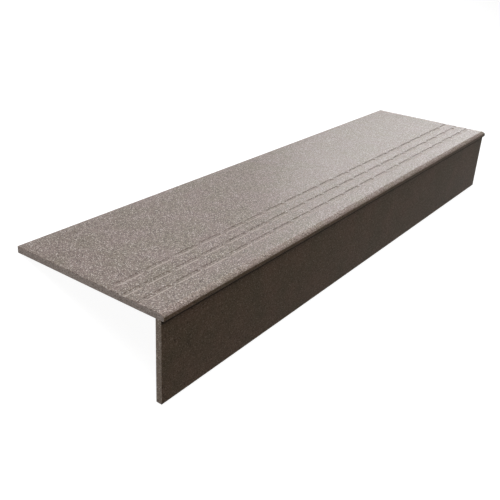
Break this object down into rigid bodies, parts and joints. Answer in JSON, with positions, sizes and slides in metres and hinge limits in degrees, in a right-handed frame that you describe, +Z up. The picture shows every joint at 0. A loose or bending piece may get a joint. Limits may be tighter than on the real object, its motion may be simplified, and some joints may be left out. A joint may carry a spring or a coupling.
{
  "type": "stair tread",
  "caption": "L-shaped stoneware stair tread: a speckled slab with a bevelled nose and dashed anti-slip recesses, and a plain riser slab glued under the nose.",
  "frame": {"origin": "on the floor, below the middle of the box round the part", "axes": "+X along the tread's length, -Y towards the nose and riser side, +Z up"},
  "size_m": [1.2, 0.3285, 0.1345],
  "materials": {
    "tread": "matt, salt-and-pepper speckle",
    "riser": "satin, fine speckle"
  },
  "bodies": {
    "root": {"tread_slab": "tread", "riser_slab": "riser"}
  },
  "joints": []
}
